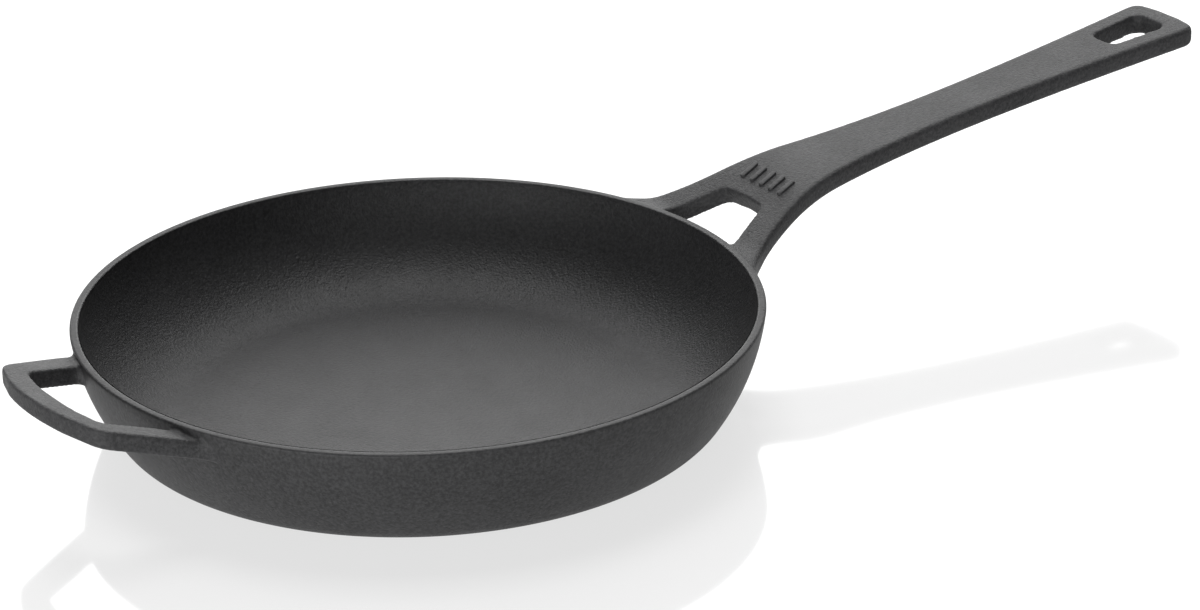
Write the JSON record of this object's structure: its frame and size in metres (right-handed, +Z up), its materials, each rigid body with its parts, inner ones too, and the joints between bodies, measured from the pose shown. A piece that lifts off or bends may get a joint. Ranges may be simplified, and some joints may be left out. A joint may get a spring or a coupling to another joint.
{
  "type": "cast iron skillet",
  "caption": "Flared round cast iron skillet with a coved floor, a long handle on a forked yoke with a hanging slot, and an open helper handle opposite.",
  "frame": {"origin": "centre of the bowl's flat underside, on the surface it stands on", "axes": "+Z up, out of the bowl's mouth; +X along the long handle, away from the bowl; the helper handle is towards -X"},
  "size_m": [0.5756, 0.2797, 0.0809],
  "materials": {
    "bowl_iron": "matt black seasoned cast iron with a fine sand-cast grain",
    "handle_iron": "matt black cast iron, fine grain, softly rounded edges",
    "helper_iron": "matt black cast iron, fine grain",
    "mark_iron": "matt black cast iron, raised ribs"
  },
  "bodies": {
    "root": {"floor_plate": "bowl_iron", "coved_corner": "bowl_iron", "side_wall": "bowl_iron", "handle_yoke": "handle_iron", "handle_grip": "handle_iron", "helper_handle": "helper_iron", "raised_mark": "mark_iron"}
  },
  "joints": []
}
